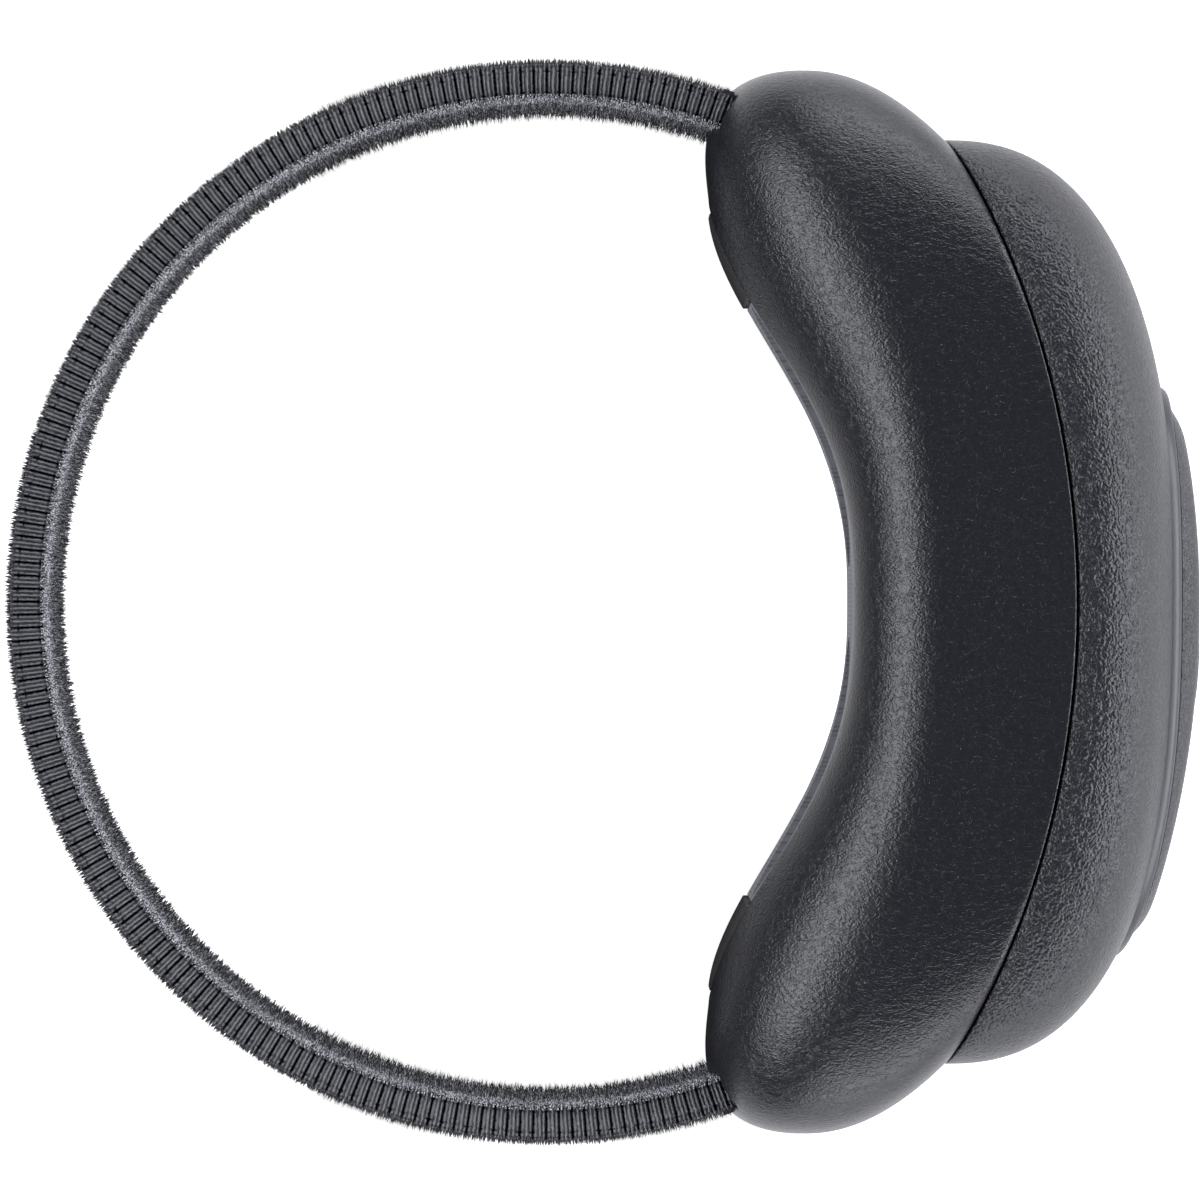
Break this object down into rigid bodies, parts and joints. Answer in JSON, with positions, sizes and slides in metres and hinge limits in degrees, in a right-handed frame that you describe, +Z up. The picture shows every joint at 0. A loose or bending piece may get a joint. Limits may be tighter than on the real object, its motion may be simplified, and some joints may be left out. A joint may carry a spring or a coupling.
{
  "type": "padded eye mask with head strap",
  "caption": "Padded massaging eye mask with a curved face cushion, a domed front shell with a control pod, and a swinging plush head strap.",
  "frame": {"origin": "centre of the bounding box's underside, on the surface the mask stands on", "axes": "+Z up towards the forehead side, front facing -Y, wearer's left +X"},
  "size_m": [0.2164, 0.2376, 0.0885],
  "materials": {
    "leatherette": "fine grain, semi-matt",
    "grained_skin": "coarse leather grain, semi-matt",
    "grey_lining": "woven, matt",
    "black_plastic": "smooth satin",
    "black_rubber": "matt",
    "plush": "looped plush with ribbed edges",
    "circuit_board": "solder mask",
    "bare_metal": "plain",
    "brass": "sintered weight",
    "bladder_film": "translucent film",
    "heating_film": "thin printed film",
    "pale_plastic": "moulded",
    "lens": "clear window"
  },
  "bodies": {
    "mask": {"face_cushion": "leatherette", "face_lining": "grey_lining", "front_shell": "grained_skin", "control_pod": "grained_skin", "front_plate": "black_plastic", "mid_frame": "black_plastic", "indicator_lens": "lens", "button_board": "circuit_board", "main_board": "circuit_board", "battery": "bare_metal", "air_pump": "pale_plastic", "pump_motor": "bare_metal", "air_valve": "pale_plastic", "air_manifold": "pale_plastic", "usb_socket": "bare_metal", "power_switch": "bare_metal", "mode_switch": "bare_metal", "temple_pad_left": "black_rubber", "eye_pad_left": "black_rubber", "heating_film_left": "heating_film", "air_bladder_left": "bladder_film", "pad_tray_left": "black_plastic", "vibration_motor_left": "bare_metal", "air_tube_left": "bladder_film", "anchor_pin_left": "bare_metal", "temple_pad_right": "black_rubber", "eye_pad_right": "black_rubber", "heating_film_right": "heating_film", "air_bladder_right": "bladder_film", "pad_tray_right": "black_plastic", "vibration_motor_right": "bare_metal", "air_tube_right": "bladder_film", "anchor_pin_right": "bare_metal", "frame_screw_1": "bare_metal", "frame_screw_2": "bare_metal", "frame_screw_3": "bare_metal", "frame_screw_4": "bare_metal"},
    "strap": {"head_strap": "plush", "strap_clip_left": "black_plastic", "strap_clip_right": "black_plastic"},
    "power_key": {"power_button": "black_rubber"},
    "mode_key": {"mode_button": "black_rubber"},
    "weight_left": {"motor_weight_left": "brass"},
    "weight_right": {"motor_weight_right": "brass"}
  },
  "joints": [
    {"name": "strap_swing", "type": "hinge", "parent": "mask", "child": "strap", "pos_m": [0, -0.0321, 0.0435], "axis": [1, 0, 0], "range_deg": [-8, 12]},
    {"name": "power_press", "type": "slide", "parent": "mask", "child": "power_key", "axis": [0, 1, 0], "range_m": [0, 0.0008], "stiffness_N_per_m": 600, "springref_m": -0.0006},
    {"name": "mode_press", "type": "slide", "parent": "mask", "child": "mode_key", "axis": [0, 1, 0], "range_m": [0, 0.0008], "stiffness_N_per_m": 600, "springref_m": -0.0006},
    {"name": "weight_left_spin", "type": "hinge", "parent": "mask", "child": "weight_left", "pos_m": [0.036, -0.06539, 0.0435], "axis": [0, 0, 1], "continuous": true},
    {"name": "weight_right_spin", "type": "hinge", "parent": "mask", "child": "weight_right", "pos_m": [-0.036, -0.06539, 0.0435], "axis": [0, 0, 1], "continuous": true}
  ]
}
